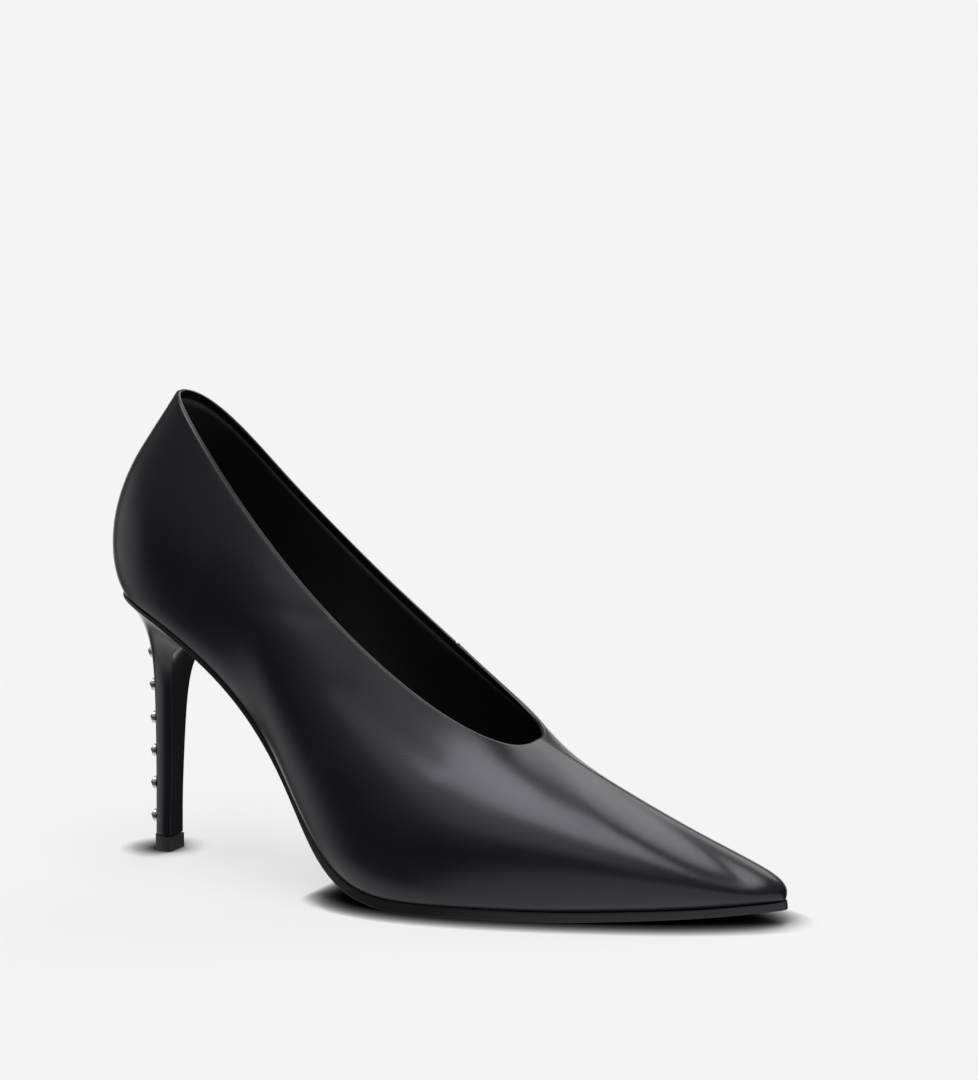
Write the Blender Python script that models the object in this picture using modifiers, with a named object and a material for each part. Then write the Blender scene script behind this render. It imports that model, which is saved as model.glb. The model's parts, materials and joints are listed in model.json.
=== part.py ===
"""A black leather stiletto pump for the right foot, modelled as its maker assembles it.

Sizes are millimetres. Lengths run from the back of the heel cup to the toe (+X), heights from
the floor (+Z), and widths from the heel's centre line: lateral to -Y and medial to +Y.
"""

import math

import bmesh
import bpy
import numpy as np
from mathutils import Vector

MM = 0.001

# Driving dimensions of the pieces
WALL = 1.8
FIT_GAP = 0.3
SOLE_EDGE = 0.5
TREAD_SNAP = 0.3
INSOLE_THICK = 1.6
INSOLE_INSET = 2.5
LIFT_HEIGHT = 4.8
LIFT_EDGE = 0.25
STUD_COUNT = 6
STUD_FIRST_HEIGHT = 10.8
STUD_PITCH = 10.95
STUD_RADIUS = 2.1
STUD_HEIGHT = 2.0
STUD_RIM = 0.5
STUD_TIP_RADIUS = 0.35
STUD_ROOT = 2.4
TAB_THICK = 0.6
TAB_TOP = 0.975
TAB_DROP = 0.045
TAB_MIDDLE_RIB = -0.8
TAB_HALF_RIBS = 0.55
TAB_ROUND_END = 0.96

# Fineness of the meshes
MERGE_DISTANCE = 0.01
LOOP_STEPS = 3
RIB_STEPS = 14
ACROSS_STEPS = 6
HEEL_BACK_STEPS = 16
HEEL_BREAST_STEPS = 6
HEEL_RING_STEPS = 2
SEAT_RINGS = 3
SEAT_SEARCH_STEPS = 4
STUD_SIDES = 16
TAB_STEPS = (10, 4)

# Height of the feather line, where upper and sole meet, with the sole's thickness below it
PROFILE_COLUMNS = ("along", "height", "sole")
PROFILE = (
    (-8.0, 90.6, 1.0),
    (4.0, 88.5, 1.0),
    (20.0, 83.9, 1.0),
    (36.0, 75.7, 1.2),
    (51.0, 63.1, 1.3),
    (64.0, 48.0, 1.4),
    (77.0, 30.8, 1.7),
    (88.0, 16.8, 2.2),
    (98.0, 8.6, 2.7),
    (110.0, 4.3, 3.0),
    (122.0, 3.3, 3.0),
    (143.0, 3.3, 3.0),
    (165.0, 3.3, 3.0),
    (188.0, 4.1, 2.9),
    (212.0, 5.5, 2.7),
    (236.0, 7.7, 2.5),
)

# The last: one row for each rib of the upper, from the back of the heel round to the toe.
# A rib rises from the feather line to the topline. Its bulges are how far the curve is pulled
# outward from the straight line between those two ends, at the heights given by RIB_SHARES.
LAST_COLUMNS = ("foot_along", "foot_lateral", "foot_medial", "top_along", "top_half", "top_height")
LAST = (
    (4.6, 0.0, 0.0, 22.4, 0.0, 153.2),
    (9.8, 14.8, 14.6, 27.0, 8.4, 150.2),
    (22.0, 22.1, 21.4, 38.0, 14.0, 139.8),
    (39.0, 24.0, 22.3, 52.5, 17.6, 124.2),
    (56.0, 21.8, 19.2, 68.0, 20.4, 109.0),
    (72.0, 23.4, 18.6, 83.5, 22.2, 95.2),
    (88.0, 30.6, 22.5, 99.0, 23.2, 82.8),
    (105.0, 36.8, 29.5, 114.0, 22.8, 72.0),
    (124.0, 38.3, 34.4, 127.5, 20.8, 63.2),
    (146.0, 34.4, 34.2, 138.0, 17.6, 57.2),
    (170.0, 27.0, 27.6, 145.0, 13.4, 53.6),
    (192.0, 18.8, 20.4, 148.2, 9.4, 52.0),
    (210.0, 11.2, 14.6, 149.6, 6.2, 51.4),
    (223.0, 4.6, 10.2, 150.2, 3.6, 51.2),
    (231.4, -0.4, 7.0, 150.4, 1.6, 51.2),
    (234.4, -3.8, 3.8, 150.4, 0.0, 51.2),
)
TOE_RIB = len(LAST) - 1
LATERAL_DROP = 1.6

# The bulges of the same ribs, which are fuller on the lateral side of the foot
RIB_SHARES = (0.0, 0.005, 0.04, 0.18, 0.46, 0.75, 1.0)
LATERAL_BULGES = (
    (0.8, 3.4, 8.6, 11.6, 6.6),
    (0.8, 3.2, 7.8, 10.4, 5.8),
    (0.7, 2.4, 5.8, 7.8, 4.6),
    (0.6, 2.2, 5.2, 7.4, 4.0),
    (0.7, 2.6, 6.4, 10.2, 6.6),
    (0.9, 3.0, 7.8, 12.2, 9.0),
    (1.0, 3.4, 8.6, 12.6, 9.0),
    (1.1, 3.8, 9.2, 12.4, 8.2),
    (1.2, 4.2, 9.8, 12.6, 7.8),
    (1.4, 4.8, 11.0, 13.8, 8.2),
    (1.7, 5.8, 12.4, 15.4, 9.0),
    (2.0, 6.8, 13.6, 16.0, 9.4),
    (2.4, 7.6, 13.6, 14.4, 8.2),
    (2.8, 7.8, 11.8, 10.8, 5.4),
    (3.0, 6.8, 7.0, 4.4, 1.0),
    (3.0, 6.3, 5.0, 1.6, -0.2),
)
MEDIAL_BULGES = (
    (0.8, 3.4, 8.6, 11.6, 6.6),
    (0.8, 3.2, 7.8, 10.4, 5.8),
    (0.7, 2.4, 5.8, 7.8, 4.6),
    (0.6, 2.0, 4.4, 5.6, 3.4),
    (0.7, 2.2, 4.6, 5.8, 4.0),
    (0.9, 2.6, 5.2, 6.8, 6.0),
    (1.0, 3.0, 5.8, 7.4, 6.8),
    (1.1, 3.2, 6.2, 7.8, 7.0),
    (1.2, 3.4, 6.4, 7.8, 6.0),
    (1.4, 3.8, 7.0, 7.8, 5.0),
    (1.7, 4.4, 7.8, 7.8, 4.0),
    (2.0, 5.4, 8.2, 7.2, 3.0),
    (2.4, 6.2, 8.2, 6.2, 2.2),
    (2.8, 6.6, 7.6, 5.0, 1.3),
    (3.0, 6.6, 6.6, 3.5, 0.6),
    (3.0, 6.3, 5.0, 1.6, -0.2),
)

# The stiletto heel: one row for each section from the top lift up to the seat
HEEL_COLUMNS = ("rise", "back", "breast", "half_width", "fullness", "hollow")
HEEL = (
    (0.0, 12.0, 19.2, 4.2, 2.2, 0.0),
    (0.15, 12.0, 19.5, 3.9, 2.0, 0.0),
    (0.35, 12.1, 20.2, 4.0, 2.0, 0.0),
    (0.52, 12.1, 20.7, 4.7, 2.0, 0.0),
    (0.67, 11.9, 21.4, 6.1, 2.0, 0.2),
    (0.78, 11.4, 23.0, 8.4, 2.1, 0.6),
    (0.87, 10.4, 26.4, 12.2, 2.3, 1.4),
    (0.94, 8.6, 31.6, 17.0, 2.5, 2.4),
    (1.0, 5.6, 38.3, 22.3, 2.7, 3.2),
)

# Colour, roughness and metallic value of each material
FINISHES = {
    "black_leather": ((0.012, 0.011, 0.014), 0.42, 0.0),
    "black_tab_leather": ((0.012, 0.011, 0.014), 0.42, 0.0),
    "black_sole": ((0.010, 0.010, 0.011), 0.50, 0.0),
    "black_lining": ((0.014, 0.013, 0.014), 0.65, 0.0),
    "black_heel_cover": ((0.012, 0.012, 0.014), 0.28, 0.0),
    "black_lift": ((0.016, 0.016, 0.016), 0.60, 0.0),
    "polished_metal": ((0.82, 0.82, 0.84), 0.14, 1.0),
}


def spline_through(places, values):
    """A smooth function through the given places and values, straight at both ends."""
    places = np.array(places)
    values = np.array(values)
    gaps = np.diff(places)
    slopes = np.diff(values) / gaps
    last = len(places) - 1
    system = np.eye(last + 1)
    bends = np.zeros(last + 1)
    for i in range(1, last):
        system[i, i - 1:i + 2] = gaps[i - 1], 2 * (gaps[i - 1] + gaps[i]), gaps[i]
        bends[i] = 6 * (slopes[i] - slopes[i - 1])
    curve = np.linalg.solve(system, bends)

    def value_at(place):
        i = min(max(int(np.searchsorted(places, place)) - 1, 0), last - 1)
        after = (place - places[i]) / gaps[i]
        before = 1 - after
        bend = (before ** 3 - before) * curve[i] + (after ** 3 - after) * curve[i + 1]
        return before * values[i] + after * values[i + 1] + bend * gaps[i] ** 2 / 6

    return value_at


def column(table, names, name):
    return [row[names.index(name)] for row in table]


PROFILE_PLACES = column(PROFILE, PROFILE_COLUMNS, "along")
feather_height = spline_through(PROFILE_PLACES, column(PROFILE, PROFILE_COLUMNS, "height"))
sole_thickness = spline_through(PROFILE_PLACES, column(PROFILE, PROFILE_COLUMNS, "sole"))


def below_feather(along, depth):
    """The length and height of a point at a depth square to the feather line's profile."""
    step = 0.1
    fall = (feather_height(along + step) - feather_height(along - step)) / (2 * step)
    square = math.hypot(fall, 1.0)
    return along + depth * fall / square, feather_height(along) - depth / square


def topline_drop(rib):
    """How far the lateral topline lies below the medial one, fading to the back and the throat."""
    return LATERAL_DROP * math.sin(math.pi * rib / TOE_RIB) ** 2


def last_loop():
    """Spline controls of the ribs all round the shoe: lateral to the toe, then medial and back."""
    rows = [dict(zip(LAST_COLUMNS, row)) for row in LAST]
    loop = []
    for rib, row in enumerate(rows):
        ends = [row["foot_along"], -row["foot_lateral"], row["top_along"], -row["top_half"]]
        loop.append([*ends, row["top_height"] - topline_drop(rib), *LATERAL_BULGES[rib]])
    for rib in range(TOE_RIB - 1, 0, -1):
        row = rows[rib]
        ends = [row["foot_along"], row["foot_medial"], row["top_along"], row["top_half"]]
        loop.append([*ends, row["top_height"], *MEDIAL_BULGES[rib]])
    around = np.eye(len(loop))
    blend = (4 * around + np.roll(around, 1, axis=0) + np.roll(around, -1, axis=0)) / 6
    return np.linalg.solve(blend, np.array(loop))


LOOP = last_loop()
LOOP_RIBS = len(LOOP)


def rib_values(rib):
    """The table's values at any place round the loop, counted in ribs from the back."""
    step = math.floor(rib)
    share = rib - step
    weights = (
        (1 - share) ** 3,
        3 * share ** 3 - 6 * share ** 2 + 4,
        -3 * share ** 3 + 3 * share ** 2 + 3 * share + 1,
        share ** 3,
    )
    return sum(w * LOOP[(step + k) % LOOP_RIBS] / 6 for w, k in zip(weights, (-1, 0, 1, 2)))


def outward(rib):
    """The level direction square to the feather line, away from the foot."""
    step = 0.02
    run, swing = rib_values(rib + step)[:2] - rib_values(rib - step)[:2]
    return np.array((swing, -run, 0.0)) / math.hypot(run, swing)


def clamped_spline(controls, share):
    """A point on the cubic spline of these controls, which starts and ends on the first and last."""
    spans = len(controls) - 3
    knots = [0.0] * 3 + [float(k) for k in range(spans + 1)] + [float(spans)] * 3
    place = min(share * spans, spans - 1e-9)
    first = int(place)
    points = [controls[first + k] for k in range(4)]
    for level in range(1, 4):
        for k in range(3, level - 1, -1):
            low = knots[first + k]
            high = knots[first + k + 4 - level]
            part = (place - low) / (high - low)
            points[k] = (1 - part) * points[k - 1] + part * points[k]
    return points[3]


def upper_point(rib, rise):
    """A point of the upper's outer face: rise 0 is the feather line, and 1 the topline."""
    foot_along, foot_side, top_along, top_side, top_height, *bulges = rib_values(rib)
    foot = np.array((foot_along, foot_side, feather_height(foot_along)))
    reach = np.array((top_along, top_side, top_height)) - foot
    straight = reach / np.linalg.norm(reach)
    proud = outward(rib)
    proud = proud - straight * proud.dot(straight)
    proud = proud / np.linalg.norm(proud)
    pulls = [0.0, *bulges, 0.0]
    controls = [foot + reach * share + proud * pull for share, pull in zip(RIB_SHARES, pulls)]
    return clamped_spline(controls, rise)


def upper_normal(rib, rise):
    step = 0.01
    low = max(rise - step, 0.0)
    high = min(rise + step, 1.0)
    along = upper_point(rib + step, rise) - upper_point(rib - step, rise)
    up = upper_point(rib, high) - upper_point(rib, low)
    normal = np.cross(along, up)
    return normal / np.linalg.norm(normal)


def feather_outline(rib, spread):
    """The feather line in plan, moved outward by a spread."""
    return rib_values(rib)[:2] + outward(rib)[:2] * spread


def clear_scene():
    for item in list(bpy.data.objects):
        bpy.data.objects.remove(item, do_unlink=True)


def new_collection(name):
    collection = bpy.data.collections.new(name)
    bpy.context.scene.collection.children.link(collection)
    return collection


def make_material(name):
    colour, roughness, metallic = FINISHES[name]
    material = bpy.data.materials.new(name)
    material.use_nodes = True
    shader = material.node_tree.nodes["Principled BSDF"]
    shader.inputs["Base Color"].default_value = (*colour, 1.0)
    shader.inputs["Roughness"].default_value = roughness
    shader.inputs["Metallic"].default_value = metallic
    material.diffuse_color = (*colour, 1.0)
    return material


def add_object(name, bm, collection, material, smooth_angle=40.0):
    mesh = bpy.data.meshes.new(name)
    bm.to_mesh(mesh)
    bm.free()
    mesh.shade_smooth()
    mesh.set_sharp_from_angle(angle=math.radians(smooth_angle))
    item = bpy.data.objects.new(name, mesh)
    collection.objects.link(item)
    mesh.materials.append(material)
    return item


def shaped_grid(columns, rows, place):
    """A grid whose vertices go where place says, from shares along its columns and rows."""
    bm = bmesh.new()
    bmesh.ops.create_grid(bm, x_segments=columns, y_segments=rows, size=0.5)
    for vertex in bm.verts:
        vertex.co = Vector(place(vertex.co.x + 0.5, vertex.co.y + 0.5)) * MM
    bmesh.ops.remove_doubles(bm, verts=bm.verts, dist=MERGE_DISTANCE * MM)
    return bm


def make_upper(collection):
    """The closed upper: one wall round the whole last, open at the topline and underneath."""

    def place(around, rise):
        return upper_point(around * LOOP_RIBS, rise)

    bm = shaped_grid(LOOP_RIBS * LOOP_STEPS, RIB_STEPS, place)
    upper = add_object("upper", bm, collection, make_material("black_leather"))
    wall = upper.modifiers.new("wall", "SOLIDIFY")
    wall.thickness = WALL * MM
    wall.offset = -1.0
    wall.use_even_offset = True
    return upper


def make_plate(name, collection, material, spread, top_depth, bottom_depth):
    """A plate that follows the feather line's profile between two depths."""

    def place(along, across):
        rib = along * TOE_RIB
        lateral = feather_outline(rib, spread)
        medial = feather_outline(LOOP_RIBS - rib, spread)
        return (*(lateral + (medial - lateral) * across), 0.0)

    def lay(vertices, depth_at):
        for vertex in vertices:
            along = vertex.co.x / MM
            length, height = below_feather(along, depth_at(along))
            if height < TREAD_SNAP:
                height = 0.0
            vertex.co.x = length * MM
            vertex.co.z = height * MM

    bm = shaped_grid(TOE_RIB * LOOP_STEPS, ACROSS_STEPS, place)
    top = list(bm.verts)
    copied = bmesh.ops.extrude_face_region(bm, geom=list(bm.faces), use_keep_orig=True)
    bottom = [item for item in copied["geom"] if isinstance(item, bmesh.types.BMVert)]
    lay(top, top_depth)
    lay(bottom, bottom_depth)
    bmesh.ops.recalc_face_normals(bm, faces=bm.faces)
    return add_object(name, bm, collection, material)


def make_outsole(collection):
    def underside(along):
        return FIT_GAP + sole_thickness(along)

    material = make_material("black_sole")
    return make_plate("outsole", collection, material, SOLE_EDGE, lambda along: FIT_GAP, underside)


def make_insole(collection):
    material = make_material("black_lining")
    return make_plate(
        "insole", collection, material, -INSOLE_INSET, lambda along: -INSOLE_THICK, lambda along: 0.0
    )


def seat_height(length):
    """The height of the heel's seat, a fit gap under the sole, at a length along the shoe."""
    along = length
    for _ in range(SEAT_SEARCH_STEPS):
        depth = 2 * FIT_GAP + sole_thickness(along)
        seat_length, height = below_feather(along, depth)
        along += length - seat_length
    return height


HEEL_FOOT = LIFT_HEIGHT + FIT_GAP
HEEL_RISES = column(HEEL, HEEL_COLUMNS, "rise")
HEEL_CURVES = {
    name: spline_through(HEEL_RISES, column(HEEL, HEEL_COLUMNS, name)) for name in HEEL_COLUMNS[1:]
}


def heel_outline(rise, grow):
    """One section of the heel in plan: a round back and sides, and a hollowed flat breast."""
    back, breast, half_width, fullness, hollow = (curve(rise) for curve in HEEL_CURVES.values())
    depth = breast - back + 2 * grow
    half_width += grow
    points = []
    for i in range(HEEL_BACK_STEPS + 1):
        angle = math.pi * (i / HEEL_BACK_STEPS - 0.5)
        rear = abs(math.cos(angle)) ** (2 / fullness)
        side = math.copysign(abs(math.sin(angle)) ** (2 / fullness), angle)
        points.append((breast + grow - depth * rear, half_width * side))
    for i in range(1, HEEL_BREAST_STEPS):
        side = 1 - 2 * i / HEEL_BREAST_STEPS
        points.append((breast + grow - hollow * (1 - side * side), half_width * side))
    return points


def heel_ring(rise, grow=0.0, shrink=1.0):
    """A section of the heel in space. Its tilt grows towards the seat, which slopes as the sole does."""
    outline = heel_outline(rise, grow)
    middle = sum(length for length, _ in outline) / len(outline)
    ring = []
    for length, side in outline:
        length = middle + (length - middle) * shrink
        height = HEEL_FOOT + rise * (seat_height(length) - HEEL_FOOT)
        ring.append((length, side * shrink, height))
    return ring


def heel_rings(grow=0.0):
    steps = (len(HEEL) - 1) * HEEL_RING_STEPS
    rises = [spaced_value(HEEL_RISES, i / HEEL_RING_STEPS) for i in range(steps + 1)]
    rings = [heel_ring(0.0, grow, 0.0)]
    rings += [heel_ring(rise, grow) for rise in rises]
    rings += [heel_ring(1.0, grow, 1 - (i + 1) / SEAT_RINGS) for i in range(SEAT_RINGS)]
    return rings


def spaced_value(values, place):
    """A value between two neighbours in a list, at a place counted in list items."""
    return float(np.interp(place, range(len(values)), values))


def loft(rings):
    """A closed body through rings of equal length, whose first and last rings are single points."""
    columns = len(rings[0])
    rows = len(rings) - 1

    def place(around, up):
        return rings[round(up * rows)][round(around * columns) % columns]

    bm = shaped_grid(columns, rows, place)
    bmesh.ops.recalc_face_normals(bm, faces=bm.faces)
    return bm


def make_heel(collection):
    return add_object("heel", loft(heel_rings()), collection, make_material("black_heel_cover"))


def make_top_lift(collection):
    """The flat wearing piece under the heel, a little wider than the heel's foot."""
    outline = heel_outline(0.0, LIFT_EDGE)
    middle = sum(length for length, _ in outline) / len(outline)
    rings = []
    for height in (0.0, LIFT_HEIGHT):
        rings.append([(length, side, height) for length, side in outline])
    rings.insert(0, [(middle, 0.0, 0.0)] * len(outline))
    rings.append([(middle, 0.0, LIFT_HEIGHT)] * len(outline))
    return add_object("top_lift", loft(rings), collection, make_material("black_lift"))


def heel_back_at(height):
    heights = []
    backs = []
    for rise in HEEL_RISES:
        back = HEEL_CURVES["back"](rise)
        heights.append(HEEL_FOOT + rise * (seat_height(back) - HEEL_FOOT))
        backs.append(back)
    return float(np.interp(height, heights, backs))


def make_stud_blank():
    """A turned stud with a low cone over a short rim, whose root reaches into the heel."""
    outline = (
        (0.0, STUD_HEIGHT),
        (STUD_TIP_RADIUS, STUD_HEIGHT - STUD_TIP_RADIUS / 2),
        (STUD_RADIUS, STUD_RIM),
        (STUD_RADIUS, -STUD_ROOT),
        (0.0, -STUD_ROOT),
    )
    bm = bmesh.new()
    points = [bm.verts.new((radius * MM, 0.0, height * MM)) for radius, height in outline]
    for first, second in zip(points, points[1:]):
        bm.edges.new((first, second))
    return bm


def make_studs(collection, cutters):
    """A column of studs down the back of the heel, each bedded on the heel's round back."""
    metal = make_material("polished_metal")
    cutter = add_object("heel_bed", loft(heel_rings(FIT_GAP)), cutters, metal)
    cutter.hide_render = True
    cutter.display_type = "WIRE"
    studs = []
    for i in range(STUD_COUNT):
        height = STUD_FIRST_HEIGHT + i * STUD_PITCH
        stud = add_object(f"stud_{i + 1}", make_stud_blank(), collection, metal)
        stud.location = Vector((heel_back_at(height) - FIT_GAP, 0.0, height)) * MM
        stud.rotation_euler = (0.0, -math.pi / 2, 0.0)
        turn = stud.modifiers.new("turn", "SCREW")
        turn.steps = STUD_SIDES
        turn.render_steps = STUD_SIDES
        turn.use_merge_vertices = True
        turn.merge_threshold = MERGE_DISTANCE * MM
        bed = stud.modifiers.new("bed", "BOOLEAN")
        bed.operation = "DIFFERENCE"
        bed.object = cutter
        studs.append(stud)
    return studs, cutter


def make_back_tab(collection):
    """The tab sewn on beside the back seam, just under the topline on the medial side."""

    def place(across, up):
        share = (2 * across - 1) * TAB_ROUND_END
        rib = TAB_MIDDLE_RIB + TAB_HALF_RIBS * share
        rise = TAB_TOP - TAB_DROP * math.sqrt(1 - share * share) * (1 - up)
        return upper_point(rib, rise) + upper_normal(rib, rise) * FIT_GAP

    leather = make_material("black_tab_leather")
    tab = add_object("back_tab", shaped_grid(*TAB_STEPS, place), collection, leather)
    wall = tab.modifiers.new("wall", "SOLIDIFY")
    wall.thickness = TAB_THICK * MM
    wall.offset = 1.0
    return tab


def centre_on_floor(pieces, cutter):
    """Put all pieces under one empty, so that the origin is under the middle of the shoe's box."""
    bpy.context.view_layer.update()
    depsgraph = bpy.context.evaluated_depsgraph_get()
    corners = []
    for piece in pieces:
        evaluated = piece.evaluated_get(depsgraph)
        corners += [evaluated.matrix_world @ Vector(corner) for corner in evaluated.bound_box]
    low = [min(corner[axis] for corner in corners) for axis in range(3)]
    high = [max(corner[axis] for corner in corners) for axis in range(3)]
    root = bpy.data.objects.new("shoe_origin", None)
    pieces[0].users_collection[0].objects.link(root)
    root.location = (-(low[0] + high[0]) / 2, -(low[1] + high[1]) / 2, -low[2])
    for item in [*pieces, cutter]:
        item.parent = root


clear_scene()
shoe = new_collection("stiletto_pump")
cutters = new_collection("cutters")
makers = (make_upper, make_outsole, make_insole, make_heel, make_top_lift, make_back_tab)
pieces = [make(shoe) for make in makers]
studs, stud_bed = make_studs(shoe, cutters)
centre_on_floor(pieces + studs, stud_bed)
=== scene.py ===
import json
import math

import bpy
from mathutils import Matrix, Vector

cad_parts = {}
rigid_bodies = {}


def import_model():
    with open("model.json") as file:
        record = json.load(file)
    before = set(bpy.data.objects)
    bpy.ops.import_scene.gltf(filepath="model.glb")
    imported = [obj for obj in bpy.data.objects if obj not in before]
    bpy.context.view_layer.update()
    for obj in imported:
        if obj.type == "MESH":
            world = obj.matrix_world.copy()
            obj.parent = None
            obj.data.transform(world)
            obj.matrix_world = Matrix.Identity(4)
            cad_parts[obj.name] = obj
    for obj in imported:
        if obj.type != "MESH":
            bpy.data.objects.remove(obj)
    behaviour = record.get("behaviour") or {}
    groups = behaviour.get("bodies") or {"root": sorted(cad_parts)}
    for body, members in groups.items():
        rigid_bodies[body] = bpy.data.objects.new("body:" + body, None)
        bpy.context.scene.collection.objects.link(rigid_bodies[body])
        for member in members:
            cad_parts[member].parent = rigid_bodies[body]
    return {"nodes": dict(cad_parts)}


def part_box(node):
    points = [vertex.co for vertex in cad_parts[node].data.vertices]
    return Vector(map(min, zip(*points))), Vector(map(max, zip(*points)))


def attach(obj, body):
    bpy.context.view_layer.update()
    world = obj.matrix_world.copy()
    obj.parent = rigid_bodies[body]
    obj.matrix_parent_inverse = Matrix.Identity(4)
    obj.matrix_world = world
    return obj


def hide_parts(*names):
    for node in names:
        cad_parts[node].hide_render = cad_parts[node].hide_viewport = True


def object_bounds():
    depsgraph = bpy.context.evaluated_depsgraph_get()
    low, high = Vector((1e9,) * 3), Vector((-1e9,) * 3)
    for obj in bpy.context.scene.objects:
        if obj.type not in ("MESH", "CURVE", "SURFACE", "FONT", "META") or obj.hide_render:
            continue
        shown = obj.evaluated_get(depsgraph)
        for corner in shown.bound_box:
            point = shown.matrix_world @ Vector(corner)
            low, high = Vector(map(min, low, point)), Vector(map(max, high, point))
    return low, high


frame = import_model()
cad_low, cad_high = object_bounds()

# Insole
# The insole board is cut to the bottom of the last, and the upper is pulled over its edge.
# A thin black kid sock is glued on top, so its edge is soft and its face is finely grained.
MM = 0.001
MERGE_DISTANCE = 0.01 * MM
FLAT_PAIR_ANGLE = math.radians(60)
SKEWED_PAIR_ANGLE = math.radians(120)
PAIR_IN_ROWS = 2.0
SHARP_ANGLE = 50.0
EDGE_SEGMENTS = 2
INSOLE_EDGE = 0.35 * MM
COOL_SHINE = (0.93, 0.90, 1.0, 1.0)
PATCHES_PER_METRE = 55.0
PATCH_DETAIL = 4.0
PATCH_RANGE = (0.3, 0.7)
ROUGHNESS_SPREAD = 0.03
PORES_PER_CELL = 2.5
PORE_DETAIL = 2.0
GRAIN_STRENGTH = 0.5
FIRST_COLOUR = 6
SECOND_COLOUR = 7
MIXED_COLOUR = 2


def take_shape(node, name):
    """A new piece with a CAD node's shape, as one closed skin of four-sided faces."""
    bpy.ops.object.select_all(action="DESELECT")
    piece = bpy.data.objects.new(name, frame["nodes"][node].data.copy())
    bpy.context.collection.objects.link(piece)
    bpy.context.view_layer.objects.active = piece
    piece.select_set(True)
    piece.data.materials.clear()
    bpy.ops.mesh.customdata_custom_splitnormals_clear()
    bpy.ops.object.mode_set(mode="EDIT")
    bpy.ops.mesh.select_all(action="SELECT")
    bpy.ops.mesh.remove_doubles(threshold=MERGE_DISTANCE)
    bpy.ops.mesh.mark_sharp(clear=True)
    bpy.ops.mesh.tris_convert_to_quads(
        face_threshold=FLAT_PAIR_ANGLE, shape_threshold=SKEWED_PAIR_ANGLE, topology_influence=PAIR_IN_ROWS
    )
    bpy.ops.object.mode_set(mode="OBJECT")
    return piece


def apply_modifiers(piece):
    """Makes the modifiers on a piece part of its mesh, and shades it smooth."""
    bpy.ops.object.select_all(action="DESELECT")
    bpy.context.view_layer.objects.active = piece
    piece.select_set(True)
    for modifier in list(piece.modifiers):
        bpy.ops.object.modifier_apply(modifier=modifier.name)
    bpy.ops.object.shade_smooth()


def round_edges(piece, width, sharp_angle=SHARP_ANGLE):
    """Adds a small round to every edge that is sharper than the angle, in degrees."""
    bevel = piece.modifiers.new("rounded edges", "BEVEL")
    bevel.width = width
    bevel.segments = EDGE_SEGMENTS
    bevel.limit_method = "ANGLE"
    bevel.angle_limit = math.radians(sharp_angle)
    bevel.use_clamp_overlap = True


def smooth_skin(piece, levels):
    """Adds finer faces that follow the curve of the coarse ones."""
    finer = piece.modifiers.new("smooth skin", "SUBSURF")
    finer.levels = levels
    finer.render_levels = levels


def leather(name, dark, light, roughness, grain, relief):
    """Dyed and finished hide: soft tone patches over a grain of small cells and finer pores."""
    finish = bpy.data.materials.new(name)
    finish.use_nodes = True
    nodes = finish.node_tree.nodes
    links = finish.node_tree.links
    shader = nodes["Principled BSDF"]
    shader.inputs["Specular Tint"].default_value = COOL_SHINE

    place = nodes.new("ShaderNodeTexCoord")
    patches = nodes.new("ShaderNodeTexNoise")
    patches.inputs["Scale"].default_value = PATCHES_PER_METRE
    patches.inputs["Detail"].default_value = PATCH_DETAIL
    links.new(place.outputs["Object"], patches.inputs["Vector"])

    tone = nodes.new("ShaderNodeMix")
    tone.data_type = "RGBA"
    tone.inputs[FIRST_COLOUR].default_value = (*dark, 1.0)
    tone.inputs[SECOND_COLOUR].default_value = (*light, 1.0)
    links.new(patches.outputs["Fac"], tone.inputs[0])
    links.new(tone.outputs[MIXED_COLOUR], shader.inputs["Base Color"])

    wear = nodes.new("ShaderNodeMapRange")
    wear.inputs["From Min"].default_value = PATCH_RANGE[0]
    wear.inputs["From Max"].default_value = PATCH_RANGE[1]
    wear.inputs["To Min"].default_value = roughness - ROUGHNESS_SPREAD
    wear.inputs["To Max"].default_value = roughness + ROUGHNESS_SPREAD
    links.new(patches.outputs["Fac"], wear.inputs["Value"])
    links.new(wear.outputs["Result"], shader.inputs["Roughness"])

    cells = nodes.new("ShaderNodeTexVoronoi")
    cells.feature = "SMOOTH_F1"
    cells.inputs["Scale"].default_value = 1.0 / grain
    links.new(place.outputs["Object"], cells.inputs["Vector"])
    pores = nodes.new("ShaderNodeTexNoise")
    pores.inputs["Scale"].default_value = PORES_PER_CELL / grain
    pores.inputs["Detail"].default_value = PORE_DETAIL
    links.new(place.outputs["Object"], pores.inputs["Vector"])
    surface = nodes.new("ShaderNodeMath")
    surface.operation = "ADD"
    links.new(cells.outputs["Distance"], surface.inputs[0])
    links.new(pores.outputs["Fac"], surface.inputs[1])
    bump = nodes.new("ShaderNodeBump")
    bump.inputs["Strength"].default_value = GRAIN_STRENGTH
    bump.inputs["Distance"].default_value = relief
    links.new(surface.outputs[0], bump.inputs["Height"])
    links.new(bump.outputs["Normal"], shader.inputs["Normal"])
    return finish


def put_in(piece, finish, slot, *nodes):
    """Gives a piece its finish and hangs it on the shoe, in the place of the named nodes."""
    if not piece.data.materials:
        piece.data.materials.append(finish)
    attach(piece, "root")
    if nodes:
        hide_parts(*nodes)


lining_kid = leather(
    "black_kid", dark=(0.004, 0.004, 0.0045), light=(0.007, 0.0065, 0.007),
    roughness=0.62, grain=0.7 * MM, relief=0.03 * MM,
)
insole = take_shape("insole", "insole_sock")
round_edges(insole, INSOLE_EDGE)
smooth_skin(insole, 1)
apply_modifiers(insole)
put_in(insole, lining_kid, "lining", "insole")

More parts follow.
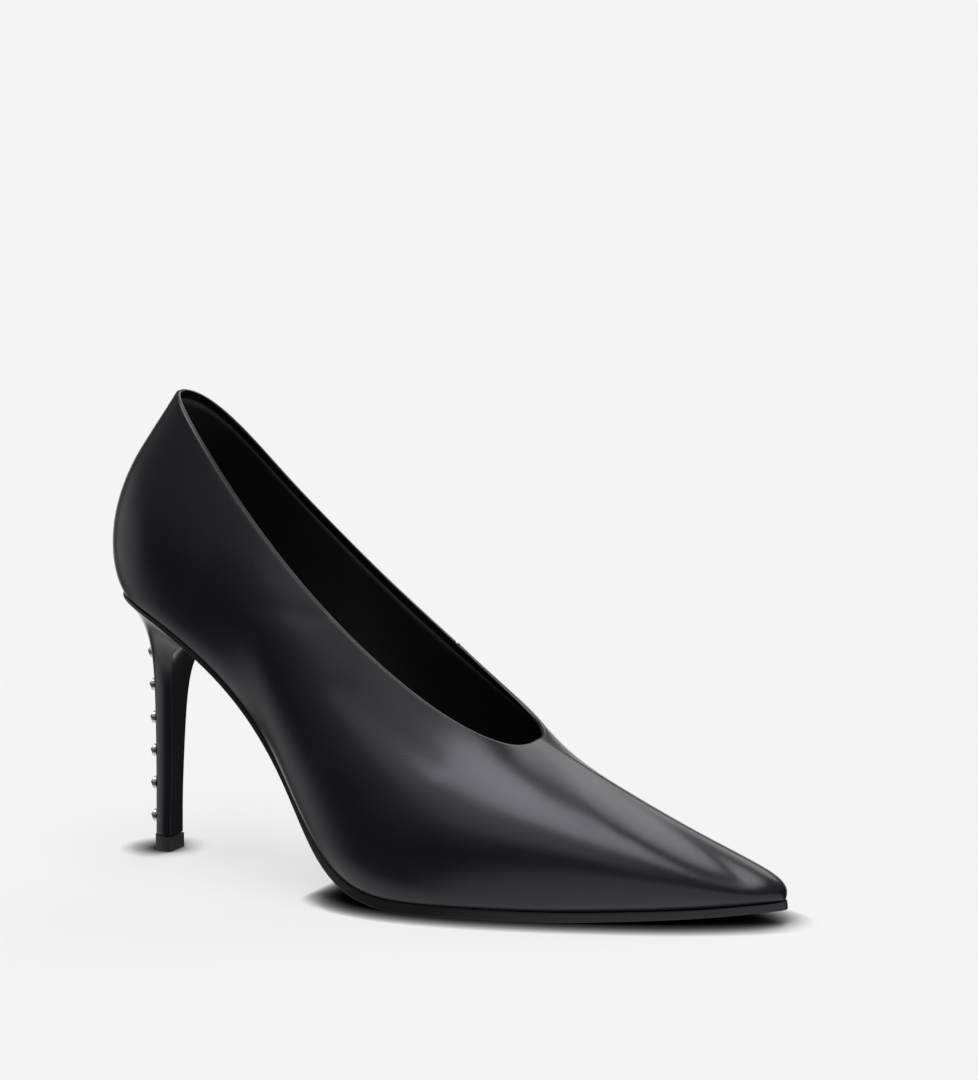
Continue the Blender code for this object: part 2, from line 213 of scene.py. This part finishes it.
# Lining
# Thin black kid covers the inside of the upper. It is sewn down and trimmed a few millimetres
# below the folded topline, so that its cut edge shows as a fine line.
RIM_ANGLE = math.radians(66)
SKIN_LEVELS = 2
CALF_THICK = 1.45 * MM
LINING_GAP = 0.1 * MM
LINING_THICK = 0.3 * MM
LINING_DROP = 3.0 * MM
COUNTER_MIDDLE = 120.0 * MM
MIDLINE_FALL = 0.6
TOE_MIDLINE = 25.0 * MM


def only_select(piece, chosen):
    """Leaves a piece in edit mode with only the faces selected that the test picks."""
    bpy.ops.object.mode_set(mode="EDIT")
    bpy.ops.mesh.select_mode(type="FACE")
    bpy.ops.mesh.select_all(action="DESELECT")
    bpy.ops.object.mode_set(mode="OBJECT")
    for face in piece.data.polygons:
        face.select = chosen(face)
    bpy.ops.object.mode_set(mode="EDIT")


def outer_skin(name):
    """A new piece with only the outer face of the upper, open at the topline and underneath."""
    skin = take_shape("upper", name)
    bpy.ops.object.mode_set(mode="EDIT")
    bpy.ops.mesh.select_mode(type="EDGE")
    bpy.ops.mesh.select_all(action="DESELECT")
    bpy.ops.mesh.edges_select_sharp(sharpness=RIM_ANGLE)
    bpy.ops.mesh.mark_sharp()
    bpy.ops.object.mode_set(mode="OBJECT")
    most_lateral = min(face.center.y for face in skin.data.polygons)
    only_select(skin, lambda face: face.center.y == most_lateral)
    bpy.ops.mesh.select_linked(delimit={"SHARP"})
    bpy.ops.mesh.select_all(action="INVERT")
    bpy.ops.mesh.delete(type="FACE")
    bpy.ops.mesh.select_all(action="SELECT")
    bpy.ops.mesh.mark_sharp(clear=True)
    bpy.ops.object.mode_set(mode="OBJECT")
    return skin


def midline(place):
    """A height between the feather line and the topline, at a place along the shoe."""
    return max(COUNTER_MIDDLE - MIDLINE_FALL * (place.x - cad_low.x), TOE_MIDLINE)


def trim_topline(skin, drop):
    """Draws the topline of a skin back along its ribs, so that it ends lower by the drop."""
    bpy.ops.object.mode_set(mode="EDIT")
    bpy.ops.mesh.select_mode(type="VERT")
    bpy.ops.mesh.select_all(action="DESELECT")
    bpy.ops.mesh.select_non_manifold(use_wire=False, use_multi_face=False, use_non_contiguous=False)
    bpy.ops.object.mode_set(mode="OBJECT")
    points = skin.data.vertices
    moves = {}
    for edge in skin.data.edges:
        for here, there in (edge.vertices, reversed(edge.vertices)):
            start = points[here].co
            if points[here].select and not points[there].select and start.z > midline(start):
                moves[here] = (points[there].co - start).normalized() * drop
    for here, move in moves.items():
        points[here].co += move


lining = outer_skin("lining_kid")
trim_topline(lining, LINING_DROP)
smooth_skin(lining, SKIN_LEVELS)
inward = lining.modifiers.new("inside the calf", "DISPLACE")
inward.mid_level = 0.0
inward.strength = -(CALF_THICK + LINING_GAP)
sheet = lining.modifiers.new("sheet", "SOLIDIFY")
sheet.thickness = LINING_THICK
sheet.offset = -1.0
apply_modifiers(lining)
put_in(lining, lining_kid, "lining")

# Upper
# Vamp and quarters are cut from smooth black calf, closed by a seam at the inner side and one at
# the back, folded over along the topline, and pulled tight over the last.
FOLD_ROUND = 1.25 * MM
INNER_ROUND = 0.15 * MM
FOLD_SEGMENTS = 4
OUTSIDE = 0
SEAM_REACH = 9.0 * MM
INNER_SEAM_TOP = (111.5 * MM, 74.0 * MM)
INNER_SEAM_FOOT = (62.0 * MM, 58.0 * MM)
BACK_SEAM_LENGTH = 24.0 * MM
LAP_START = 0.2 * MM
LAP_RISE = 0.3 * MM
LAP_FADE = 7.0 * MM
SEAM_GROOVE = 0.3 * MM
STITCH_LINE = 1.3 * MM
STITCH_LINE_SLACK = 0.15 * MM
STITCH_GROOVE = 0.18 * MM
GROOVE_HALF_WIDTH = 0.4 * MM
QUARTER_CREASE_SIZE = (3.0 * MM, 0.16 * MM)
VAMP_CREASE_SIZE = (5.0 * MM, 0.4 * MM)
# Cuts across the seams and places along the creases, in millimetres
INNER_SEAM_CUTS = (-0.4, 0.0, 0.35, 0.9, 1.3, 1.7, 4.0)
BACK_SEAM_CUTS = (-0.9, -0.35, 0.0, 0.35, 0.9)
QUARTER_CREASE = ((66.0, -27.5, 91.0), (75.0, -26.8, 89.8), (86.0, -25.0, 88.0))
VAMP_CREASE = ((98.0, -30.3, 67.3), (109.0, -31.0, 59.9), (120.0, -31.1, 53.7), (131.0, -31.5, 47.0))
calf = leather(
    "black_calf", dark=(0.0035, 0.0033, 0.0048), light=(0.0050, 0.0047, 0.0068),
    roughness=0.29, grain=0.75 * MM, relief=0.012 * MM,
)


def dent(distance, half_width, depth):
    """How far a soft trough of this half width sinks at a distance from its middle."""
    return -depth * math.exp(-((distance / half_width) ** 2))


def cut_seam(piece, point, across, cuts, on_side, shape):
    """Cuts lines beside a seam plane into the skin, then moves the skin near it as shape says."""

    def beside(face):
        near = abs((face.center - point).dot(across)) < SEAM_REACH
        return near and face.material_index == OUTSIDE and on_side(face.center)

    for cut in cuts:
        only_select(piece, beside)
        bpy.ops.mesh.bisect(plane_co=point + across * cut * MM, plane_no=across)
        bpy.ops.object.mode_set(mode="OBJECT")
    points = piece.data.vertices
    normals = [vertex.normal.copy() for vertex in points]
    for index in {index for face in piece.data.polygons if beside(face) for index in face.vertices}:
        points[index].co += normals[index] * shape((points[index].co - point).dot(across))


def lapped(distance):
    """The vamp's edge lies over the quarter, with a row of stitches close behind the edge."""
    lap = LAP_RISE * max(0.0, 1 - distance / LAP_FADE) ** 2 if distance > LAP_START else 0.0
    edge = dent(distance, GROOVE_HALF_WIDTH, SEAM_GROOVE)
    stitches = dent(distance - STITCH_LINE, GROOVE_HALF_WIDTH, STITCH_GROOVE)
    return lap + edge + stitches


def closed(distance):
    """The quarters meet edge to edge, and the seam is rubbed flat to a fine groove."""
    return dent(distance, GROOVE_HALF_WIDTH, SEAM_GROOVE)


def press_crease(piece, middle, places, half_width, depth):
    """Presses a soft trough along a line of places, given from the heel's back and centre line."""
    line = [Vector((cad_low.x + x * MM, middle + y * MM, z * MM)) for x, y, z in places]
    normals = [vertex.normal.copy() for vertex in piece.data.vertices]
    for vertex, normal in zip(piece.data.vertices, normals):
        distances = []
        for start, end in zip(line, line[1:]):
            share = (vertex.co - start).dot(end - start) / (end - start).length_squared
            nearest = start + (end - start) * min(max(share, 0.0), 1.0)
            distances.append((vertex.co - nearest).length)
        vertex.co += normal * dent(min(distances), half_width, depth)


def round_topline(piece, width, inner):
    """Rounds the outer edge of the wall along the topline, or the inner one."""
    bpy.ops.object.mode_set(mode="EDIT")
    bpy.ops.mesh.select_mode(type="EDGE")
    bpy.ops.mesh.select_all(action="DESELECT")
    bpy.ops.mesh.edges_select_sharp(sharpness=RIM_ANGLE)
    bpy.ops.object.mode_set(mode="OBJECT")
    points = piece.data.vertices
    inside = set()
    for face in piece.data.polygons:
        if face.material_index != OUTSIDE:
            inside.update(face.edge_keys)
    for edge in piece.data.edges:
        start = points[edge.vertices[0]].co
        on_side = (edge.key in inside) == inner
        edge.select = edge.select and on_side and start.z > midline(start)
    bpy.ops.object.mode_set(mode="EDIT")
    bpy.ops.mesh.bevel(offset=width, segments=FOLD_SEGMENTS, affect="EDGES")
    bpy.ops.object.mode_set(mode="OBJECT")


upper = outer_skin("upper_leather")
smooth_skin(upper, SKIN_LEVELS)
apply_modifiers(upper)
back_middle = (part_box("top_lift")[0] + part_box("top_lift")[1]) / 2
press_crease(upper, back_middle.y, QUARTER_CREASE, *QUARTER_CREASE_SIZE)
press_crease(upper, back_middle.y, VAMP_CREASE, *VAMP_CREASE_SIZE)

# The same calf twice, so that the outer faces and the others can be told apart
upper.data.materials.append(calf)
upper.data.materials.append(calf)
wall = upper.modifiers.new("wall", "SOLIDIFY")
wall.thickness = CALF_THICK
wall.offset = -1.0
wall.use_even_offset = True
wall.material_offset = 1
apply_modifiers(upper)
round_topline(upper, FOLD_ROUND, inner=False)
round_topline(upper, INNER_ROUND, inner=True)

seam_top = Vector((cad_low.x + INNER_SEAM_TOP[0], 0.0, INNER_SEAM_TOP[1]))
seam_foot = Vector((cad_low.x + INNER_SEAM_FOOT[0], 0.0, INNER_SEAM_FOOT[1]))
seam_run = (seam_top - seam_foot).normalized()
seam_across = Vector((seam_run.z, 0.0, -seam_run.x))
cut_seam(upper, seam_foot, seam_across, INNER_SEAM_CUTS, lambda c: c.y > 0, lapped)
outside = set()
for face in upper.data.polygons:
    if face.material_index == OUTSIDE:
        outside.update(face.vertices)
stitch_row = [
    (vertex.co.copy(), vertex.normal.copy()) for vertex in upper.data.vertices
    if vertex.index in outside and vertex.co.y > 0
    and abs((vertex.co - seam_foot).dot(seam_across) - STITCH_LINE) < STITCH_LINE_SLACK
]
cut_seam(
    upper, Vector((cad_low.x, back_middle.y, 0.0)), Vector((0.0, 1.0, 0.0)), BACK_SEAM_CUTS,
    lambda c: c.x < cad_low.x + BACK_SEAM_LENGTH, closed,
)
shading = upper.modifiers.new("shading by the large faces", "WEIGHTED_NORMAL")
shading.keep_sharp = True
apply_modifiers(upper)
put_in(upper, calf, "leather", "upper")

# Inner seam's stitches
# A row of short machine stitches of black thread holds the lapped edge of the vamp on the quarter,
# each one pulled a little way into the leather.
STITCH_PITCH = 2.3 * MM
STITCH_RADIUS = 0.22 * MM
STITCH_REACH = 0.65 * MM
STITCH_SIDES = 8
STITCH_RINGS = 5
thread = leather(
    "black_thread", dark=(0.007, 0.007, 0.008), light=(0.014, 0.014, 0.016),
    roughness=0.55, grain=0.2 * MM, relief=0.02 * MM,
)
bpy.ops.object.select_all(action="DESELECT")
bpy.ops.mesh.primitive_uv_sphere_add(
    segments=STITCH_SIDES, ring_count=STITCH_RINGS, radius=STITCH_RADIUS
)
stitch = bpy.context.object
for side in (-1, 1):
    only_select(stitch, lambda face: face.center.z * side > STITCH_RADIUS / 4)
    bpy.ops.transform.translate(value=(0.0, 0.0, side * STITCH_REACH))
    bpy.ops.object.mode_set(mode="OBJECT")
bpy.ops.object.shade_smooth()
stitch_row.sort(key=lambda place: place[0].z)
stitches = []
last_place = stitch_row[0][0]
for (here, normal), (there, _) in zip(stitch_row, stitch_row[1:]):
    run = there - here
    while (there - last_place).length > STITCH_PITCH and run.length > 0:
        last_place = last_place + (there - last_place).normalized() * STITCH_PITCH
        along = run.normalized()
        across = normal.cross(along).normalized()
        copy = bpy.data.objects.new("stitch", stitch.data.copy())
        bpy.context.collection.objects.link(copy)
        turn = Matrix((across, along.cross(across), along)).transposed()
        copy.data.transform(Matrix.Translation(last_place) @ turn.to_4x4())
        stitches.append(copy)
bpy.data.objects.remove(stitch)
bpy.ops.object.select_all(action="DESELECT")
for copy in stitches:
    copy.select_set(True)
bpy.context.view_layer.objects.active = stitches[0]
bpy.ops.object.join()
seam_thread = bpy.context.object
seam_thread.name = "inner_seam_stitches"
put_in(seam_thread, thread, "leather")

# Back tab
# A small tongue of the same calf is sewn on beside the back seam, just under the topline, to take
# the strain when the shoe is pulled on.
TAB_EDGE = 0.15 * MM
TAB_PRESSED_IN = 0.3 * MM
TAB_FACING = 0.5
COLLAR_MIDDLE = 30.0 * MM
tab = take_shape("back_tab", "back_tab_leather")
tab_middle = (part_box("back_tab")[0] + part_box("back_tab")[1]) / 2
tab_inward = Vector((cad_low.x + COLLAR_MIDDLE, back_middle.y, tab_middle.z)) - tab_middle
tab_inward.normalize()
only_select(tab, lambda face: face.normal.dot(tab_inward) > TAB_FACING)
bpy.ops.transform.translate(value=tab_inward * TAB_PRESSED_IN)
bpy.ops.object.mode_set(mode="OBJECT")
round_edges(tab, TAB_EDGE)
smooth_skin(tab, 2)
apply_modifiers(tab)
put_in(tab, calf, "leather", "back_tab")

# Outsole
# The thin leather sole is cemented under the lasted upper. Its edge is trimmed, inked black and
# burnished, and its bottom is dyed black.
SOLE_ROUND = 0.2 * MM
SOLE_TOP_TILT = 0.375
SOLE_FACE_TILT = 0.75
SOLE_PRESSED_UP = 0.22 * MM
sole_black = leather(
    "black_sole_leather", dark=(0.008, 0.008, 0.0085), light=(0.014, 0.014, 0.014),
    roughness=0.60, grain=1.1 * MM, relief=0.03 * MM,
)
edge_ink = leather(
    "black_edge_ink", dark=(0.007, 0.007, 0.008), light=(0.011, 0.011, 0.012),
    roughness=0.34, grain=0.6 * MM, relief=0.012 * MM,
)
outsole = take_shape("outsole", "outsole_leather")
only_select(outsole, lambda face: face.normal.z > SOLE_TOP_TILT)
bpy.ops.transform.translate(value=(0.0, 0.0, SOLE_PRESSED_UP))
bpy.ops.object.mode_set(mode="OBJECT")
round_edges(outsole, SOLE_ROUND)
smooth_skin(outsole, 1)
apply_modifiers(outsole)
outsole.data.materials.append(edge_ink)
outsole.data.materials.append(sole_black)
for face in outsole.data.polygons:
    face.material_index = 1 if abs(face.normal.z) > SOLE_FACE_TILT else 0
put_in(outsole, edge_ink, "sole", "outsole")

# Heel
# A moulded core is wrapped in a thin, tightly stretched cover of glossy black leather, and is
# screwed to the seat from inside the shoe.
HEEL_ROUND = 0.4 * MM
HEEL_SHARP_ANGLE = 45.0
heel_gloss = leather(
    "glossy_heel_cover", dark=(0.0045, 0.0043, 0.006), light=(0.0060, 0.0058, 0.008),
    roughness=0.20, grain=0.8 * MM, relief=0.008 * MM,
)
heel = take_shape("heel", "heel_covered")
round_edges(heel, HEEL_ROUND, HEEL_SHARP_ANGLE)
smooth_skin(heel, 2)
apply_modifiers(heel)
put_in(heel, heel_gloss, "heel_cover", "heel")

# Top lift
# The walking end of the heel is a hard black rubber piece, pinned into the core. It is a piece of
# its own, because it wears down and is changed.
LIFT_ROUND = 0.3 * MM
LIFT_SHARP_ANGLE = math.radians(40)
rubber = leather(
    "black_hard_rubber", dark=(0.012, 0.012, 0.012), light=(0.018, 0.018, 0.018),
    roughness=0.55, grain=0.5 * MM, relief=0.02 * MM,
)
lift = take_shape("top_lift", "top_lift_rubber")
round_edges(lift, LIFT_ROUND)
apply_modifiers(lift)
bpy.ops.object.shade_smooth_by_angle(angle=LIFT_SHARP_ANGLE)
put_in(lift, rubber, "lift", "top_lift")

# Studs
# Six turned and polished steel studs are set in a row down the back of the heel. Each has a low
# collar, a fine groove and a cone that ends in a small round tip, and is held by its shank.
STUD_COUNT = 6
STUD_SIDES = 32
STUD_SHARP_ANGLE = math.radians(28)
STEEL_DARK = (0.72, 0.71, 0.70, 1.0)
STEEL_LIGHT = (0.88, 0.87, 0.86, 1.0)
STEEL_ROUGHNESS = (0.12, 0.28)
WEAR_PER_METRE = 900.0
WEAR_DETAIL = 3.0
# Rise and radius of each turned step in millimetres, from the shank out to the tip
STUD_STEPS = (
    (1.0, 2.05), (0.12, 2.1), (0.26, 2.1), (0.10, 1.98), (0.0, 1.80), (0.10, 1.80), (0.55, 1.22),
    (0.60, 0.55), (0.17, 0.28), (0.06, 0.10),
)
steel = bpy.data.materials.new("polished_steel")
steel.use_nodes = True
steel_nodes = steel.node_tree.nodes
steel_links = steel.node_tree.links
steel_shader = steel_nodes["Principled BSDF"]
steel_shader.inputs["Metallic"].default_value = 1.0
steel_place = steel_nodes.new("ShaderNodeTexCoord")
steel_wear = steel_nodes.new("ShaderNodeTexNoise")
steel_wear.inputs["Scale"].default_value = WEAR_PER_METRE
steel_wear.inputs["Detail"].default_value = WEAR_DETAIL
steel_links.new(steel_place.outputs["Object"], steel_wear.inputs["Vector"])
steel_tone = steel_nodes.new("ShaderNodeMix")
steel_tone.data_type = "RGBA"
steel_tone.inputs[FIRST_COLOUR].default_value = STEEL_DARK
steel_tone.inputs[SECOND_COLOUR].default_value = STEEL_LIGHT
steel_links.new(steel_wear.outputs["Fac"], steel_tone.inputs[0])
steel_links.new(steel_tone.outputs[MIXED_COLOUR], steel_shader.inputs["Base Color"])
steel_polish = steel_nodes.new("ShaderNodeMapRange")
steel_polish.inputs["To Min"].default_value = STEEL_ROUGHNESS[0]
steel_polish.inputs["To Max"].default_value = STEEL_ROUGHNESS[1]
steel_links.new(steel_wear.outputs["Fac"], steel_polish.inputs["Value"])
steel_links.new(steel_polish.outputs["Result"], steel_shader.inputs["Roughness"])

bpy.ops.object.select_all(action="DESELECT")
bpy.ops.mesh.primitive_circle_add(vertices=STUD_SIDES, radius=STUD_STEPS[0][1] * MM, fill_type="NGON")
turned_stud = bpy.context.object
bpy.ops.object.mode_set(mode="EDIT")
bpy.ops.mesh.select_all(action="SELECT")
for (_, before), (rise, radius) in zip(((0.0, STUD_STEPS[0][1]), *STUD_STEPS), STUD_STEPS):
    bpy.ops.mesh.extrude_region_move(TRANSFORM_OT_translate={"value": (0.0, 0.0, rise * MM)})
    bpy.ops.transform.resize(value=(radius / before, radius / before, 1.0))
bpy.ops.mesh.select_all(action="SELECT")
bpy.ops.mesh.normals_make_consistent(inside=False)
bpy.ops.object.mode_set(mode="OBJECT")
bpy.ops.object.shade_smooth_by_angle(angle=STUD_SHARP_ANGLE)
stud_length = sum(rise for rise, _ in STUD_STEPS) * MM
for number in range(1, STUD_COUNT + 1):
    stud_low, stud_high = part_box(f"stud_{number}")
    stud = bpy.data.objects.new(f"stud_{number}_steel", turned_stud.data.copy())
    bpy.context.collection.objects.link(stud)
    stud_middle = (stud_low + stud_high) / 2
    base = Vector((stud_low.x + stud_length, stud_middle.y, stud_middle.z))
    stud.data.transform(Matrix.Translation(base) @ Matrix.Rotation(-math.pi / 2, 4, "Y"))
    put_in(stud, steel, "stud_metal", f"stud_{number}")
bpy.data.objects.remove(turned_stud)

# Floor, light and camera
# A pale studio floor runs out of sight. It glows evenly, and a painted contact shadow in its colour and
# its glow darkens it under and beside the shoe.
# One broad soft light hangs over the shoe, weaker ones stand at its outer side and behind it, and white
# paper stands left, right and behind.
FLOOR_SIZE = 30.0
FLOOR_WHITE = 0.20
FLOOR_GLOW = 0.695
FLOOR_ROUGHNESS = 0.9
SHADE_REACH = 12.0 * MM
SHADE_DEPTH = 5.5
SHADE_LEAN = (0.45, -0.10, 0.88)
bpy.ops.object.select_all(action="DESELECT")
bpy.ops.mesh.primitive_plane_add(size=FLOOR_SIZE, location=(0.0, 0.0, 0.0))
floor = bpy.context.object
floor.name = "studio_floor"
floor_paint = bpy.data.materials.new("pale_floor")
floor_paint.use_nodes = True
floor_nodes = floor_paint.node_tree.nodes
floor_links = floor_paint.node_tree.links
floor_shader = floor_nodes["Principled BSDF"]
floor_shader.inputs["Roughness"].default_value = FLOOR_ROUGHNESS
floor_shader.inputs["Specular IOR Level"].default_value = 0.0
floor_shader.inputs["Emission Color"].default_value = (1.0, 1.0, 1.0, 1.0)
# Painted shadow: the floor's colour and glow are both scaled down by how much of the space above it is
# closed off by the shoe, within the reach and leaned towards the toe
openness = floor_nodes.new("ShaderNodeAmbientOcclusion")
openness.inputs["Distance"].default_value = SHADE_REACH
lean = floor_nodes.new("ShaderNodeCombineXYZ")
for axis, share in zip("XYZ", SHADE_LEAN):
    lean.inputs[axis].default_value = share
floor_links.new(lean.outputs[0], openness.inputs["Normal"])
painted_contact_shadow = floor_nodes.new("ShaderNodeMath")
painted_contact_shadow.operation = "POWER"
painted_contact_shadow.inputs[1].default_value = SHADE_DEPTH
floor_links.new(openness.outputs["AO"], painted_contact_shadow.inputs[0])
for share, socket in ((FLOOR_WHITE, "Base Color"), (FLOOR_GLOW, "Emission Strength")):
    shadow_painted_share = floor_nodes.new("ShaderNodeMath")
    shadow_painted_share.operation = "MULTIPLY"
    shadow_painted_share.inputs[1].default_value = share
    floor_links.new(painted_contact_shadow.outputs[0], shadow_painted_share.inputs[0])
    floor_links.new(shadow_painted_share.outputs[0], floor_shader.inputs[socket])
floor.data.materials.append(floor_paint)
floor.visible_glossy = False

# The ceiling's heights and its light at them, then for each paper its direction, the cosines and
# the heights over which it comes up, and its brightness
CEILING = ((0.05, 0.50), (0.05, 0.24))
RIGHT_SWEEP = ((0.70, -0.33, -0.63), (0.42, 0.70), (0.9, 0.5), 0.82)
LEFT_SWEEP = ((-0.50, 0.0, -0.87), (0.74, 0.90), (0.9, 0.5), 0.64)
BACK_SWEEP = ((-0.41, 0.87, -0.26), (0.85, 0.97), (0.9, 0.5), 1.2)
LEFT_CARD = ((-0.995, -0.105, 0.0), (0.80, 0.97), (0.42, 0.05), 0.70)
room = bpy.data.worlds.new("dim_room")
bpy.context.scene.world = room
room.use_nodes = True
room_nodes = room.node_tree.nodes
room_links = room.node_tree.links
direction = room_nodes.new("ShaderNodeTexCoord")
height = room_nodes.new("ShaderNodeSeparateXYZ")
room_links.new(direction.outputs["Generated"], height.inputs[0])


def room_math(operation, first, second):
    """Joins two values of the room's light by an operation."""
    node = room_nodes.new("ShaderNodeMath")
    node.operation = operation
    room_links.new(first, node.inputs[0])
    room_links.new(second, node.inputs[1])
    return node.outputs[0]


def soft_step(value, start, end, dim=0.0, bright=1.0):
    """A light that goes softly from dim to bright while the value goes from start to end."""
    step = room_nodes.new("ShaderNodeMapRange")
    step.interpolation_type = "SMOOTHSTEP"
    step.inputs["From Min"].default_value = start
    step.inputs["From Max"].default_value = end
    step.inputs["To Min"].default_value = dim
    step.inputs["To Max"].default_value = bright
    room_links.new(value, step.inputs["Value"])
    return step.outputs["Result"]


room_light = soft_step(height.outputs["Z"], *CEILING[0], *CEILING[1])
for towards, turns, heights, brightness in (RIGHT_SWEEP, LEFT_SWEEP, BACK_SWEEP, LEFT_CARD):
    facing = room_nodes.new("ShaderNodeVectorMath")
    facing.operation = "DOT_PRODUCT"
    facing.inputs[1].default_value = towards
    room_links.new(direction.outputs["Generated"], facing.inputs[0])
    breadth = soft_step(facing.outputs["Value"], *turns, 0.0, brightness)
    card = room_math("MULTIPLY", breadth, soft_step(height.outputs["Z"], *heights))
    room_light = room_math("MAXIMUM", room_light, card)
room_links.new(room_light, room_nodes["Background"].inputs["Color"])

LIGHT_DISTANCE = 2.0


def hang_light(name, turn, rise, spread, brightness):
    """A round soft light far away, at a turn from the outer side towards the toe and a rise."""
    turn = math.radians(turn)
    rise = math.radians(rise)
    towards = Vector((
        math.sin(turn) * math.cos(rise), -math.cos(turn) * math.cos(rise), math.sin(rise)
    ))
    bpy.ops.object.light_add(type="SUN", location=towards * LIGHT_DISTANCE)
    light = bpy.context.object
    light.name = name
    light.data.angle = math.radians(spread)
    light.data.energy = brightness * math.pi * math.sin(math.radians(spread / 2)) ** 2
    light.rotation_euler = towards.to_track_quat("Z", "Y").to_euler()


hang_light("top_softbox", turn=25.0, rise=83.0, spread=44.0, brightness=4.5)
hang_light("side_softbox", turn=12.0, rise=45.0, spread=36.0, brightness=0.85)
hang_light("back_softbox", turn=180.0, rise=44.0, spread=36.0, brightness=2.2)

VIEW_TURN = math.radians(26.8)
VIEW_RISE = math.radians(10.8)
VIEW_DISTANCE = 1.599
VIEW_ASIDE = 15.5 * MM
VIEW_ABOVE = 110.0 * MM
VIEW_END = 100.0
LONG_SIDE_SENSOR = 36.0
LONG_LENS = 167.5
view_back = Vector((
    math.sin(VIEW_TURN) * math.cos(VIEW_RISE),
    -math.cos(VIEW_TURN) * math.cos(VIEW_RISE),
    math.sin(VIEW_RISE),
))
view_right = Vector((math.cos(VIEW_TURN), math.sin(VIEW_TURN), 0.0))
view_up = view_back.cross(view_right)
bpy.ops.object.camera_add(
    location=view_right * VIEW_ASIDE + view_up * VIEW_ABOVE + view_back * VIEW_DISTANCE,
    rotation=(-view_back).to_track_quat("-Z", "Y").to_euler(),
)
camera = bpy.context.object
camera.data.sensor_width = LONG_SIDE_SENSOR
camera.data.lens = LONG_LENS
camera.data.clip_end = VIEW_END
bpy.context.scene.camera = camera
bpy.context.scene.view_settings.view_transform = "Standard"
